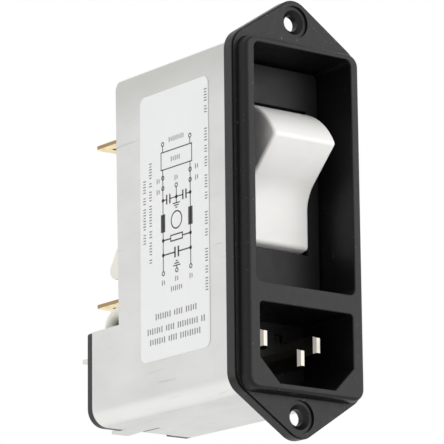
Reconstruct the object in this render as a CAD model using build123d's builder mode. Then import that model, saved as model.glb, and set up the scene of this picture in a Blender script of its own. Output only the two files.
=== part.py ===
from build123d import *
import math
import os

os.makedirs("parts", exist_ok=True)

# Power entry module: a moulded flange with a rocker circuit breaker above a three-pin inlet,
# in front of a folded metal case that holds the line filter.
# Millimetres. X is right seen from the front, Y runs back through the panel, Z is up.
# The origin is on the flange's rear face, midway between the two screw holes.

# Flange
hole_pitch = 84.4
screw_hole_d = 3.5
countersink_d = 6.4
countersink_rim_d = 7.0
countersink_rim_depth = 0.5
flange_margin = 1.25
flange_thickness = 3.0
flange_step = 0.35
flange_step_depth = 0.4
flange_rear_edge = 0.25
tip_radius = 4.7
shoulder_radius = 5.0
shoulder_spacing = 68.1

# Bezel, with the breaker recess above the inlet
bezel_rise = 2.6
bezel_flare = 0.5
bezel_corner = 3.0
bezel_edge = 0.9
side_rim = 2.05
top_rim = 1.2
bottom_rim = 1.5
divider = 4.15
opening_edge = 0.3
recess_corner = 0.6
recess_draft = 4.0
floor_y = 6.2
floor_thickness = 2.0

# Inlet
inlet_z = -28.05
inlet_width = 24.5
inlet_height = 16.5
inlet_corner = 5.0
inlet_round = 0.8
inlet_depth = 16.5
inlet_wall = 1.6
pin_spacing = 14.0
pin_wide = 4.0
pin_thick = 2.0
power_pin_rise = 2.0
power_pin_setback = 5.3
earth_pin_drop = 2.0
earth_pin_setback = 1.9
pin_tip = 0.7
pin_tail = 1.2
pin_tail_gap = 1.0
pocket_width = 2.2
pocket_height = 1.7
pocket_depth = 0.8
pocket_x = 5.4
pocket_rise = 5.0

# Metal case, folded from one sheet
sheet = 0.6
case_margin = 0.8
case_rise = 0.65
case_bottom = -37.7
case_front_y = 0.1
case_overhang = 1.0
back_lean = 1.0
step_drop = 6.8
wide_fold = 4.0
tight_fold = 1.2
cheek_corner = 2.5
top_lip = 3.0
lug_left = -5.7
lug_right = -0.9
lug_reach = 4.7
lug_bend = 1.5
lug_drop = 0.3
lug_chamfer = 0.6
relief_width = 0.6
relief_length = 6.5
case_fit = 0.1

# Skirt on the back of the moulding
skirt_back_y = 10.0
skirt_wall = 1.2
skirt_bottom_fit = 0.05

# Rear cover
cover_plate = 2.1
cover_top_plate = 1.1
cover_spigot = 3.0
cover_wall = 1.2
cover_edge = 0.6
notch_right = 7.6

# Breaker frame and body
frame_side_lap = 1.35
frame_end_lap = 2.3
frame_side_gap = 0.125
frame_end_gap = 0.275
frame_height = 48.8
frame_thickness = 1.7
frame_corner = 1.6
window_gap = 0.45
ear_gap = 0.25
ear_thickness = 0.85
body_back_y = 40.6
body_wall = 1.4
body_fit = 0.2
hump_inset = 1.2
hump_rise = 3.35
hump_tip_drop = 13.25
hump_tip_y = 51.2
hump_bottom_drop = 15.75
hump_round = 1.6
snap_height = 0.7
snap_length = 4.0
snap_width = 8.0
ear_height = 6.0
ear_back_y = 11.0
bearing_depth = 1.0
guide_front_y = 31.0
guide_height = 24.0

# Rocker
rocker_width = 16.4
rocker_radius = 15.3
rocker_travel = 45.0
pivot_y = 7.8
upper_face = 5.4
lower_face = 4.3
rocker_rear = 7.0
rocker_blend = 8.0
nose_round = 1.0
rocker_edge = 0.7
rocker_wall = 1.5
axle_d = 2.5
running_fit = 0.05
finger_reach = 11.0
finger_tip_d = 2.4
finger_width = 1.8
web_width = 3.0
hub_d = 5.0

# Contacts and terminals
tab_width = 6.3
tab_thickness = 0.8
tab_tip_y = 55.9
tab_hole_d = 1.7
tab_hole_setback = 3.4
tab_chamfer = 0.6
load_tab_rise = 15.75
line_tab_gap = 0.15
inner_strip_width = 5.0
strip_gap = 0.3
button_d = 3.0
button_height = 0.6
contact_gap = 0.05
slot_clearance = 0.15
guide_width = 0.9
blade_gap = 0.3
blade_width = 3.8
blade_front_y = 20.5
blade_back_y = 35.0
load_inner_y = 36.0
guide_gap = 0.2
slider_front_y = 17.4
slider_slot_back_y = 20.5
slider_back_y = 30.0
slider_height = 8.0
prong_height = 1.6
bar_front_y = 26.0
bar_height = 3.0
bar_gap = 0.7
button_inset = 0.3
foot_lap = 0.7

# Filter
board_z = -34.9
board_thickness = 1.2
board_gap = 0.5
board_end_gap = 0.1
ledge_width = 3.4
ledge_height = 1.1
ledge_depth = 2.6
choke_setback = 11.2
core_outer_d = 14.4
core_inner_d = 8.0
core_height = 6.4
winding_wall = 1.1
winding_angle = 140.0
x_cap_width = 18.0
x_cap_depth = 8.0
x_cap_top_gap = 2.4
x_cap_back_gap = 4.9
x_cap_edge = 0.5
x_cap_lead_inset = 1.5
y_cap_d = 7.0
y_cap_thickness = 2.6
y_cap_x = 6.0
y_cap_lead_x = 2.5
y_cap_gap = 1.0
resistor_to_choke = 9.4
y_cap_to_resistor = 3.0
x_cap_to_y_cap = 6.0
resistor_d = 1.9
resistor_length = 6.4
resistor_lead_reach = 1.5
component_lead_d = 0.8
component_lead_tail = 1.0
lead_hole_fit = 0.1
lead_inset = 4.2
wire_d = 1.2
sleeve_d = 3.2
sleeve_fit = 0.05
lead_bend = 3.0
lead_drop = 2.4
lead_shift = 1.1
bare_length = 1.4

# Earth terminal
earth_tab_x = -4.6
earth_tab_drop = 3.9
earth_tab_reach = 12.8
earth_leg_setback = 1.6

# Label
label_front_y = 9.2
label_back_y = 33.4
label_bottom_z = -27.0
label_top_z = 31.2
label_corner = 1.7
label_thickness = 0.12

# Places worked out from the sizes above: widths grow outwards from the rocker to the flange
front_y = -(flange_thickness + bezel_rise)
recess_spread = (floor_y - front_y) * math.tan(math.radians(recess_draft))
cavity_half_width = rocker_width / 2 + ear_gap + ear_thickness
body_width = 2 * (cavity_half_width + body_wall)
frame_width = body_width + 2 * frame_side_lap
floor_width = frame_width + 2 * frame_side_gap
bezel_width = floor_width + 2 * (recess_spread + side_rim)
flange_width = bezel_width + 2 * (bezel_flare + flange_margin)
case_width = floor_width + 2 * (recess_spread + case_margin)
body_height = frame_height - 2 * frame_end_lap
floor_height = frame_height + 2 * frame_end_gap
inlet_top = inlet_z + inlet_height / 2
inlet_bottom = inlet_z - inlet_height / 2
recess_bottom = inlet_top + divider
recess_top = recess_bottom + floor_height + 2 * recess_spread
breaker_z = (recess_top + recess_bottom) / 2
bezel_top = recess_top + top_rim
bezel_bottom = inlet_bottom - bottom_rim
bezel_z = (bezel_top + bezel_bottom) / 2
case_top = bezel_top + case_rise
inner_inset = sheet + case_fit
skirt_top = case_top - inner_inset
inlet_back_y = front_y + inlet_depth
floor_back_y = floor_y + floor_thickness
case_left = -case_width / 2
case_right = case_width / 2
pin_x = pin_spacing / 2
power_pin_z = inlet_z + power_pin_rise
earth_pin_z = inlet_z - earth_pin_drop
finger_rise = finger_reach * math.sin(math.radians(rocker_travel / 2))
slider_travel = 2 * finger_rise
pole_spacing = 2 * (cavity_half_width - strip_gap) - inner_strip_width
load_tab_z = breaker_z + load_tab_rise
line_tab_z = breaker_z - body_height / 2 + body_wall + line_tab_gap + tab_thickness / 2
slider_width = pole_spacing - blade_width - 2 * (guide_gap + guide_width + blade_gap)
step_z = line_tab_z - step_drop
plate_top = step_z - case_fit
board_top = board_z + board_thickness
board_width = case_width - 2 * (inner_inset + cover_wall + board_gap)
ledge_x = (board_width - ledge_width) / 2
board_front_y = inlet_back_y + inlet_wall + board_gap
choke_y = board_front_y + choke_setback
resistor_y = choke_y + resistor_to_choke
y_cap_y = resistor_y + y_cap_to_resistor
x_cap_y = y_cap_y + x_cap_to_y_cap
x_cap_height = plate_top - cover_top_plate - x_cap_top_gap - board_top
lower_back_y = x_cap_y + x_cap_depth / 2 + x_cap_back_gap
upper_back_y = body_back_y + case_overhang
top_back_y = upper_back_y + back_lean
board_back_y = lower_back_y - board_end_gap
lead_x = case_right - lead_inset
lead_y = lower_back_y - sleeve_d / 2 - case_fit
lug_tip_y = lower_back_y + lug_reach
lug_bend_y = lower_back_y - lug_bend
relief_front_y = lower_back_y - relief_length
earth_tab_z = step_z - earth_tab_drop
earth_tab_tip_y = lower_back_y + earth_tab_reach


def upright(y):
    """Plane that faces the front at depth y: its sketches run along X and Z."""
    return Plane.XZ.offset(-y)


def side(x):
    """Plane that faces +X at x: its sketches run along Y and Z."""
    return Plane.YZ.offset(x)


def flange_outline(inset):
    """Outline of the flange, drawn inset from its edge: a hull around two tips and four shoulders."""
    with BuildSketch(Plane.XY) as outline:
        with GridLocations(1, hole_pitch, 1, 2):
            Circle(tip_radius - inset)
        with GridLocations(flange_width - 2 * shoulder_radius, shoulder_spacing, 2, 2):
            Circle(shoulder_radius - inset)
        make_hull()
    return outline.sketch


def case_section(inset, top, bottom_inset=None):
    """Closed outline of the case, drawn inset from its outer faces, up to the height top."""
    low = case_bottom + (inset if bottom_inset is None else bottom_inset)
    left = case_left + inset
    right = case_right - inset
    with BuildSketch(Plane.XY) as outline:
        with BuildLine():
            Polyline((left, low), (right, low), (right, top), (left, top), close=True)
        make_face()
        corners = outline.vertices().group_by(Axis.Y)[0].sort_by(Axis.X)
        fillet(corners[0], max(wide_fold - inset, 0.3))
        low_right = outline.vertices().group_by(Axis.Y)[0].sort_by(Axis.X)[-1]
        fillet(low_right, max(tight_fold - inset, 0.3))
    return outline.sketch


def rocker_outline(radius, upper, lower, rear, blend):
    """Side outline of the rocker about its pivot: two flat faces that meet in a hollow curve,
    round end faces on one circle, and a straight rear edge."""
    half = math.radians(rocker_travel / 2)
    tilt = math.radians(rocker_travel)

    def place(u, v):
        return (pivot_y + u, breaker_z + v)

    reach_up = math.sqrt(radius**2 - upper**2)
    reach_down = math.sqrt(radius**2 - lower**2)
    nose_up = (-upper * math.cos(tilt) - reach_up * math.sin(tilt),
               -upper * math.sin(tilt) + reach_up * math.cos(tilt))
    nose_down = (-lower, -reach_down)
    crease = (-lower, -(upper - lower * math.cos(tilt)) / math.sin(tilt))
    span = math.sqrt(radius**2 - rear**2)
    rear_up = (rear * math.cos(half) - span * math.sin(half),
               rear * math.sin(half) + span * math.cos(half))
    rear_down = (rear * math.cos(half) + span * math.sin(half),
                 rear * math.sin(half) - span * math.cos(half))

    def between(a, b):
        middle = (a[0] + b[0], a[1] + b[1])
        length = math.hypot(*middle)
        return place(radius * middle[0] / length, radius * middle[1] / length)

    with BuildSketch(Plane.XY) as outline:
        with BuildLine():
            Line(place(*nose_down), place(*crease))
            Line(place(*crease), place(*nose_up))
            ThreePointArc(place(*nose_up), between(nose_up, rear_up), place(*rear_up))
            Line(place(*rear_up), place(*rear_down))
            ThreePointArc(place(*rear_down), between(rear_down, nose_down), place(*nose_down))
        make_face()
        crease_corner = outline.vertices().sort_by_distance(place(*crease))[0]
        fillet(crease_corner, blend)
        for nose in (nose_up, nose_down):
            fillet(outline.vertices().sort_by_distance(place(*nose))[0], nose_round)
    return outline.sketch


def terminal(name, pole_x, z, strip_front, foot_back=None):
    """Flat quick-connect blade along Y with a narrower strip inside the breaker body. With
    foot_back the strip rises at its front end to a foot that carries a contact button."""
    low = z - tab_thickness / 2
    high = z + tab_thickness / 2
    with BuildPart() as blade:
        with BuildSketch(Plane.XY.offset(low)) as flat:
            with Locations((pole_x, (cavity_back_y + tab_tip_y) / 2)):
                Rectangle(tab_width, tab_tip_y - cavity_back_y)
            chamfer(flat.vertices().group_by(Axis.Y)[-1], tab_chamfer)
            with Locations((pole_x, tab_tip_y - tab_hole_setback)):
                Circle(tab_hole_d / 2, mode=Mode.SUBTRACT)
        extrude(amount=tab_thickness)
        with BuildSketch(side(pole_x)):
            with BuildLine():
                if foot_back:
                    Polyline(
                        (cavity_back_y, low),
                        (strip_front, low),
                        (strip_front, foot_top),
                        (foot_back, foot_top),
                        (foot_back, foot_top - tab_thickness),
                        (strip_front + tab_thickness, foot_top - tab_thickness),
                        (strip_front + tab_thickness, high),
                        (cavity_back_y, high),
                        close=True,
                    )
                else:
                    Polyline((cavity_back_y, low), (strip_front, low), (strip_front, high),
                             (cavity_back_y, high), close=True)
            make_face()
        extrude(amount=inner_strip_width / 2, both=True)
        if foot_back:
            with BuildSketch(Plane.XY.offset(foot_top)):
                with Locations((pole_x, contact_y_front)):
                    Circle(button_d / 2)
            extrude(amount=button_height)
    blade.part.label = name
    return blade.part


def inlet_pin(name, x, z, tip_y, tail_y):
    """Flat blade pin of the inlet with a tail bent down to the board."""
    tail_low = board_z - pin_tail
    with BuildPart() as pin:
        with BuildSketch(side(x)):
            with BuildLine():
                Polyline(
                    (tip_y, z - pin_wide / 2),
                    (tail_y, z - pin_wide / 2),
                    (tail_y, tail_low),
                    (tail_y + pin_tail, tail_low),
                    (tail_y + pin_tail, z + pin_wide / 2),
                    (tip_y, z + pin_wide / 2),
                    close=True,
                )
            make_face()
        extrude(amount=pin_thick / 2, both=True)
        tip_edges = pin.faces().sort_by(Axis.Y)[0].edges()
        chamfer(tip_edges, pin_tip, angle=30)
    pin.part.label = name
    return pin.part


# Front moulding: flange, bezel, breaker recess, inlet shroud and skirt in one piece, with a
# shallow step behind the flange on which the case's front edge sits
with BuildPart() as front_housing:
    with BuildSketch(upright(0)):
        add(flange_outline(0))
    extrude(amount=flange_thickness - flange_step_depth)
    fillet(front_housing.faces().sort_by(Axis.Y)[-1].edges(), flange_rear_edge)
    with BuildSketch(upright(flange_step_depth - flange_thickness)):
        add(flange_outline(flange_step))
    extrude(amount=flange_step_depth)
    with BuildSketch(upright(-flange_thickness)):
        with Locations((0, bezel_z)):
            RectangleRounded(bezel_width + 2 * bezel_flare, bezel_top - bezel_bottom + 2 * bezel_flare,
                             bezel_corner)
    extrude(amount=bezel_rise, taper=math.degrees(math.atan(bezel_flare / bezel_rise)))
    fillet(front_housing.faces().sort_by(Axis.Y)[0].edges(), bezel_edge)
    with BuildSketch(upright(0)) as seat:
        add(case_section(0, case_top))
        fillet(seat.vertices().group_by(Axis.Y)[-1], sheet)
    extrude(amount=-case_front_y)
    with BuildSketch(upright(0)):
        with Locations((0, (skirt_top + inlet_top) / 2)):
            Rectangle(case_width - 2 * inner_inset, skirt_top - inlet_top)
    extrude(amount=-skirt_back_y)
    with BuildSketch(upright(0)):
        add(case_section(inner_inset, inlet_top + skirt_wall, sheet + skirt_bottom_fit))
    extrude(amount=-(inlet_back_y + inlet_wall))
    with BuildSketch(upright(inlet_back_y + inlet_wall)):
        with Locations((-ledge_x, board_z - ledge_height / 2), (ledge_x, board_z - ledge_height / 2)):
            Rectangle(ledge_width, ledge_height)
    extrude(amount=-ledge_depth)
    with BuildSketch(upright(floor_y)):
        with Locations((0, breaker_z)):
            RectangleRounded(floor_width, floor_height, recess_corner)
    extrude(amount=floor_y - front_y, taper=-recess_draft, mode=Mode.SUBTRACT)
    with BuildSketch(upright(floor_y)):
        with Locations((0, breaker_z)):
            Rectangle(body_width + 2 * body_fit, body_height + 2 * body_fit)
    extrude(amount=-floor_thickness, mode=Mode.SUBTRACT)
    with BuildSketch(upright(floor_back_y)):
        with Locations((0, (skirt_top + recess_bottom) / 2)):
            Rectangle(case_width - 2 * (inner_inset + skirt_wall), skirt_top - recess_bottom - 2 * skirt_wall)
    extrude(amount=-(skirt_back_y - floor_back_y), mode=Mode.SUBTRACT)
    with BuildSketch(upright(inlet_back_y)) as cavity:
        with Locations((0, inlet_z)):
            Rectangle(inlet_width, inlet_height)
        chamfer(cavity.vertices().group_by(Axis.Y)[0], inlet_corner)
        fillet(cavity.vertices().group_by(Axis.Y)[-1], inlet_round)
    extrude(amount=inlet_depth, mode=Mode.SUBTRACT)
    rim = front_housing.faces().sort_by(Axis.Y)[0]
    fillet(rim.inner_wires().edges(), opening_edge)
    with BuildSketch(upright(inlet_back_y)):
        with Locations((-pin_x, power_pin_z), (pin_x, power_pin_z), (0, earth_pin_z)):
            Rectangle(pin_thick, pin_wide)
    extrude(amount=-inlet_wall, mode=Mode.SUBTRACT)
    with BuildSketch(upright(inlet_back_y)):
        with Locations((pocket_x, inlet_z + pocket_rise)):
            Rectangle(pocket_width, pocket_height)
    extrude(amount=-pocket_depth, mode=Mode.SUBTRACT)
    with Locations(upright(-flange_thickness)):
        with GridLocations(1, hole_pitch, 1, 2):
            CounterSinkHole(screw_hole_d / 2, countersink_d / 2, flange_thickness, 90)
            Hole(countersink_rim_d / 2, countersink_rim_depth)
front_housing.part.label = "front_housing"

# Metal case: left cheek, floor and right cheek folded from one sheet, with lips at the top.
# A lug runs on from the floor under the rear cover, with a relief slot beside it.
with BuildPart() as shield_case:
    with BuildSketch(upright(case_front_y)) as wrap:
        add(case_section(0, case_top))
        fillet(wrap.vertices().group_by(Axis.Y)[-1], sheet)
        add(case_section(sheet, case_top - sheet), mode=Mode.SUBTRACT)
        with Locations((0, case_top - sheet / 2)):
            Rectangle(case_width - 2 * top_lip, 2 * sheet, mode=Mode.SUBTRACT)
    extrude(amount=-(lower_back_y - case_front_y))
    with BuildSketch(side(0)) as cut:
        with BuildLine():
            Polyline(
                (upper_back_y, step_z),
                (lower_back_y + sheet, step_z),
                (lower_back_y + sheet, case_top),
                (top_back_y, case_top),
                close=True,
            )
        make_face()
    extrude(amount=case_width, both=True, mode=Mode.SUBTRACT)
    with BuildSketch(side(0)):
        with BuildLine():
            Line((top_back_y - cheek_corner, case_top + sheet), (top_back_y + sheet, case_top + sheet))
            Line((top_back_y + sheet, case_top + sheet), (top_back_y + sheet, case_top - cheek_corner))
            Line((top_back_y + sheet, case_top - cheek_corner), (top_back_y, case_top - cheek_corner))
            RadiusArc((top_back_y, case_top - cheek_corner), (top_back_y - cheek_corner, case_top),
                      -cheek_corner)
            Line((top_back_y - cheek_corner, case_top), (top_back_y - cheek_corner, case_top + sheet))
        make_face()
    extrude(amount=case_width, both=True, mode=Mode.SUBTRACT)
    with BuildSketch(side((lug_left + lug_right) / 2)):
        with BuildLine():
            Polyline(
                (lug_bend_y, case_bottom),
                (lug_tip_y, case_bottom - lug_drop),
                (lug_tip_y, case_bottom - lug_drop + sheet),
                (lug_bend_y, case_bottom + sheet),
                close=True,
            )
        make_face()
    extrude(amount=(lug_right - lug_left) / 2, both=True)
    tip_corners = shield_case.faces().sort_by(Axis.Y)[-1].edges().filter_by(Axis.Z)
    chamfer(tip_corners, lug_chamfer)
    with BuildSketch(Plane.XY.offset(case_bottom - lug_drop)):
        with Locations((lug_right + relief_width / 2, (relief_front_y + lower_back_y) / 2 + sheet)):
            Rectangle(relief_width, lower_back_y - relief_front_y + 2 * sheet)
    extrude(amount=lug_drop + 2 * sheet, mode=Mode.SUBTRACT)
shield_case.part.label = "shield_case"

# Rear cover: back plate, spigot and top plate of the filter compartment in one moulding
with BuildPart() as rear_cover:
    with BuildSketch(upright(lower_back_y)) as plate:
        add(case_section(0, step_z))
        fillet(plate.vertices().group_by(Axis.Y)[-1], cover_edge)
    extrude(amount=-cover_plate)
    fillet(rear_cover.faces().sort_by(Axis.Y)[-1].edges(), cover_edge)
    with BuildSketch(upright(lower_back_y)):
        add(case_section(inner_inset, plate_top))
        add(case_section(inner_inset + cover_wall, plate_top - cover_top_plate), mode=Mode.SUBTRACT)
    extrude(amount=cover_spigot)
    top_front_y = inlet_back_y + inlet_wall + case_fit
    with BuildSketch(Plane.XY.offset(plate_top)):
        with Locations((0, (top_front_y + lower_back_y) / 2)):
            Rectangle(case_width - 2 * inner_inset, lower_back_y - top_front_y)
        with Locations((-lead_x, lead_y), (lead_x, lead_y)):
            Circle(sleeve_d / 2 + lead_hole_fit, mode=Mode.SUBTRACT)
    extrude(amount=-cover_top_plate)
    with BuildSketch(Plane.XY.offset(plate_top)):
        with Locations((-lead_x, lead_y), (lead_x, lead_y)):
            Circle(sleeve_d / 2 + lead_hole_fit)
    extrude(amount=-cover_top_plate, mode=Mode.SUBTRACT)
    with BuildSketch(upright(lower_back_y)):
        with Locations((-ledge_x, board_z - ledge_height / 2), (ledge_x, board_z - ledge_height / 2)):
            Rectangle(ledge_width, ledge_height)
    extrude(amount=cover_spigot)
    with BuildSketch(upright(lower_back_y + cover_plate)):
        with Locations((earth_tab_x, earth_tab_z)):
            Rectangle(tab_width, tab_thickness)
    extrude(amount=cover_plate + cover_spigot, mode=Mode.SUBTRACT)
    notch_left = lug_left - 2 * case_fit
    with BuildSketch(upright(lower_back_y + cover_plate)):
        with Locations(((notch_left + notch_right) / 2, case_bottom)):
            Rectangle(notch_right - notch_left, 2 * (sheet + case_fit))
    extrude(amount=cover_plate, mode=Mode.SUBTRACT)
rear_cover.part.label = "rear_cover"

# Label on the left cheek
with BuildPart() as rating_label:
    with BuildSketch(side(case_left)):
        with Locations(((label_front_y + label_back_y) / 2, (label_bottom_z + label_top_z) / 2)):
            RectangleRounded(label_back_y - label_front_y, label_top_z - label_bottom_z, label_corner)
    extrude(amount=-label_thickness)
rating_label.part.label = "rating_label"

# Inlet pins
pin_tail_y = inlet_back_y + inlet_wall + pin_tail_gap
power_tip_y = front_y + power_pin_setback
earth_tip_y = front_y + earth_pin_setback
line_pin = inlet_pin("line_pin", -pin_x, power_pin_z, power_tip_y, pin_tail_y)
neutral_pin = inlet_pin("neutral_pin", pin_x, power_pin_z, power_tip_y, pin_tail_y)
earth_pin = inlet_pin("earth_pin", 0, earth_pin_z, earth_tip_y, pin_tail_y)

# Breaker frame: the black plate around the rocker, seated on the recess floor
window_width = rocker_width + 2 * window_gap
window_height = 2 * (rocker_radius + window_gap)

with BuildPart() as breaker_frame:
    with BuildSketch(upright(floor_y)):
        with Locations((0, breaker_z)):
            RectangleRounded(frame_width, frame_height, frame_corner)
    extrude(amount=frame_thickness)
    fillet(breaker_frame.faces().sort_by(Axis.Y)[0].edges(), frame_thickness / 4)
    with BuildSketch(upright(floor_y)):
        with Locations((0, breaker_z)):
            Rectangle(window_width, window_height)
    extrude(amount=frame_thickness, mode=Mode.SUBTRACT)
breaker_frame.part.label = "breaker_frame"

# Breaker body: shell open to the front, with bearing cheeks, slider guides, terminal slots,
# snap wedges behind the recess floor and a sloped hump on its back
cavity_back_y = body_back_y - body_wall
hump_half_width = body_width / 2 - hump_inset
snap_y = floor_back_y + case_fit
slider_z = breaker_z + finger_rise

with BuildPart() as breaker_body:
    with BuildSketch(upright(floor_y)):
        with Locations((0, breaker_z)):
            Rectangle(body_width, body_height)
    extrude(amount=-(body_back_y - floor_y))
    with BuildSketch(side(0)) as hump:
        with BuildLine():
            Polyline(
                (body_back_y, breaker_z + hump_rise),
                (hump_tip_y, breaker_z - hump_tip_drop),
                (hump_tip_y - hump_round, breaker_z - hump_bottom_drop + hump_round / 2),
                (body_back_y, breaker_z - hump_bottom_drop),
                close=True,
            )
        make_face()
        fillet(hump.vertices().sort_by(Axis.X)[-1], hump_round)
    extrude(amount=hump_half_width, both=True)
    with BuildSketch(upright(floor_y)):
        with Locations((0, breaker_z)):
            Rectangle(2 * cavity_half_width, body_height - 2 * body_wall)
    extrude(amount=-(cavity_back_y - floor_y), mode=Mode.SUBTRACT)
    ear_inner = rocker_width / 2 + ear_gap
    with BuildSketch(upright(floor_y)):
        for way in (-1, 1):
            with Locations((way * (ear_inner + cavity_half_width) / 2, breaker_z)):
                Rectangle(cavity_half_width - ear_inner, ear_height)
    extrude(amount=-(ear_back_y - floor_y))
    with BuildSketch(side(0)):
        with Locations((pivot_y, breaker_z)):
            Circle(axle_d / 2)
    extrude(amount=cavity_half_width + bearing_depth, both=True, mode=Mode.SUBTRACT)
    with BuildSketch(upright(cavity_back_y)):
        for way in (-1, 1):
            with Locations((way * (slider_width / 2 + guide_gap + guide_width / 2), breaker_z)):
                Rectangle(guide_width, guide_height)
    extrude(amount=cavity_back_y - guide_front_y)
    with BuildSketch(upright(body_back_y)):
        for way in (-1, 1):
            with Locations((way * pole_spacing / 2, load_tab_z), (way * pole_spacing / 2, line_tab_z)):
                Rectangle(tab_width, tab_thickness)
    extrude(amount=body_wall, mode=Mode.SUBTRACT)
    with BuildSketch(side(0)):
        for way in (-1, 1):
            face_z = breaker_z + way * body_height / 2
            with BuildLine():
                Polyline(
                    (snap_y, face_z),
                    (snap_y, face_z + way * snap_height),
                    (snap_y + snap_length, face_z),
                    close=True,
                )
            make_face()
    extrude(amount=snap_width / 2, both=True)
breaker_body.part.label = "breaker_body"

# Rocker: hollow shell on the axle, with a web and a finger that moves the contact slider
hole_r = axle_d / 2 + running_fit

with BuildPart() as rocker:
    with BuildSketch(side(0)):
        add(rocker_outline(rocker_radius, upper_face, lower_face, rocker_rear, rocker_blend))
    extrude(amount=rocker_width / 2, both=True)
    flanks = rocker.faces().filter_by(Axis.X)
    rear_centres = [edge.center() for edge in rocker.faces().sort_by(Axis.Y)[-1].edges()]
    rim_edges = [edge for edge in flanks.edges()
                 if all((edge.center() - centre).length > 0.01 for centre in rear_centres)]
    fillet(rim_edges, rocker_edge)
    with BuildSketch(side(0)):
        add(rocker_outline(rocker_radius - rocker_wall, upper_face - rocker_wall, lower_face - rocker_wall,
                           rocker_rear + rocker_wall, rocker_blend + rocker_wall))
    extrude(amount=rocker_width / 2 - rocker_wall, both=True, mode=Mode.SUBTRACT)
    with BuildSketch(side(0)):
        with Locations(Location((pivot_y, breaker_z), rocker_travel / 2)):
            Circle(hub_d / 2)
            with Locations((finger_reach / 2, 0)):
                Rectangle(finger_reach, finger_width)
            with Locations((finger_reach, 0)):
                Circle(finger_tip_d / 2)
            with Locations((-upper_face / 2, 0)):
                Rectangle(upper_face, hub_d)
    extrude(amount=web_width / 2, both=True)
    with BuildSketch(side(0)):
        with Locations((pivot_y, breaker_z)):
            Circle(hole_r)
    extrude(amount=rocker_width, both=True, mode=Mode.SUBTRACT)
rocker.part.label = "rocker"

# Axle pressed into the breaker body's bearing cheeks
with BuildPart() as rocker_axle:
    with BuildSketch(side(0)):
        with Locations((pivot_y, breaker_z)):
            Circle(axle_d / 2)
    extrude(amount=cavity_half_width + bearing_depth, both=True)
rocker_axle.part.label = "rocker_axle"

# Contact slider: forked around the rocker's finger, guided between two ribs
slot_height = finger_tip_d + 2 * slot_clearance
prong_trim = (slider_height - slot_height) / 2 - prong_height
bar_half_width = cavity_half_width - bar_gap
blade_top = slider_z - slider_height / 2

with BuildPart() as contact_slider:
    with BuildSketch(side(0)):
        with Locations(((slider_front_y + cavity_back_y - guide_gap) / 2, slider_z)):
            Rectangle(cavity_back_y - guide_gap - slider_front_y, slider_height)
        with Locations(((slider_front_y + slider_slot_back_y) / 2, slider_z)):
            Rectangle(slider_slot_back_y - slider_front_y, slot_height, mode=Mode.SUBTRACT)
        for way in (-1, 1):
            with Locations(((slider_front_y + slider_slot_back_y) / 2,
                            slider_z + way * (slider_height - prong_trim) / 2)):
                Rectangle(slider_slot_back_y - slider_front_y, prong_trim, mode=Mode.SUBTRACT)
    extrude(amount=slider_width / 2, both=True)
    with BuildSketch(Plane.XY.offset(blade_top)):
        with Locations((0, (bar_front_y + slider_back_y) / 2)):
            Rectangle(2 * bar_half_width, slider_back_y - bar_front_y)
    extrude(amount=bar_height)
contact_slider.part.label = "contact_slider"

# Contact bridges under the slider's bar, one for each pole
contact_y_front = blade_front_y + button_d / 2 + button_inset
contact_y_back = blade_back_y - button_d / 2 - button_inset


def contact_bridge(name, pole_x):
    """Flat copper bar with a silver button near each end."""
    with BuildPart() as bridge:
        with BuildSketch(Plane.XY.offset(blade_top)):
            with Locations((pole_x, (blade_front_y + blade_back_y) / 2)):
                RectangleRounded(blade_width, blade_back_y - blade_front_y, blade_width / 4)
        extrude(amount=-tab_thickness)
        with BuildSketch(Plane.XY.offset(blade_top - tab_thickness)):
            with Locations((pole_x, contact_y_front), (pole_x, contact_y_back)):
                Circle(button_d / 2)
        extrude(amount=-button_height)
    bridge.part.label = name
    return bridge.part


contact_bridge_left = contact_bridge("contact_bridge_left", -pole_spacing / 2)
contact_bridge_right = contact_bridge("contact_bridge_right", pole_spacing / 2)

# Terminals: the lower pair carries the front contacts, the upper pair carries the bimetals
fixed_button_top = blade_top - tab_thickness - button_height - slider_travel - contact_gap
foot_top = fixed_button_top - button_height
foot_back = contact_y_front + button_d / 2 + foot_lap
line_tab_left = terminal("line_tab_left", -pole_spacing / 2, line_tab_z, blade_front_y, foot_back)
line_tab_right = terminal("line_tab_right", pole_spacing / 2, line_tab_z, blade_front_y, foot_back)
load_tab_left = terminal("load_tab_left", -pole_spacing / 2, load_tab_z, load_inner_y)
load_tab_right = terminal("load_tab_right", pole_spacing / 2, load_tab_z, load_inner_y)


def bimetal(name, pole_x):
    """Thermal strip that hangs from the upper terminal and carries the rear fixed contact."""
    top = load_tab_z - tab_thickness / 2
    back = load_inner_y + 2 * tab_thickness
    front = contact_y_back - button_d / 2 - button_inset
    with BuildPart() as strip:
        with BuildSketch(side(pole_x)):
            with BuildLine():
                Polyline(
                    (back, top),
                    (back, foot_top - tab_thickness),
                    (front, foot_top - tab_thickness),
                    (front, foot_top),
                    (back - tab_thickness, foot_top),
                    (back - tab_thickness, top),
                    close=True,
                )
            make_face()
        extrude(amount=blade_width / 2, both=True)
        with BuildSketch(Plane.XY.offset(foot_top)):
            with Locations((pole_x, contact_y_back)):
                Circle(button_d / 2)
        extrude(amount=button_height)
    strip.part.label = name
    return strip.part


bimetal_left = bimetal("bimetal_left", -pole_spacing / 2)
bimetal_right = bimetal("bimetal_right", pole_spacing / 2)

# Filter board with holes for the pins and component leads
lead_hole_r = component_lead_d / 2 + lead_hole_fit
x_cap_lead_x = x_cap_width / 2 - x_cap_lead_inset
resistor_lead_x = resistor_length / 2 + resistor_lead_reach
lead_tail_z = board_z - component_lead_tail

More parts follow.
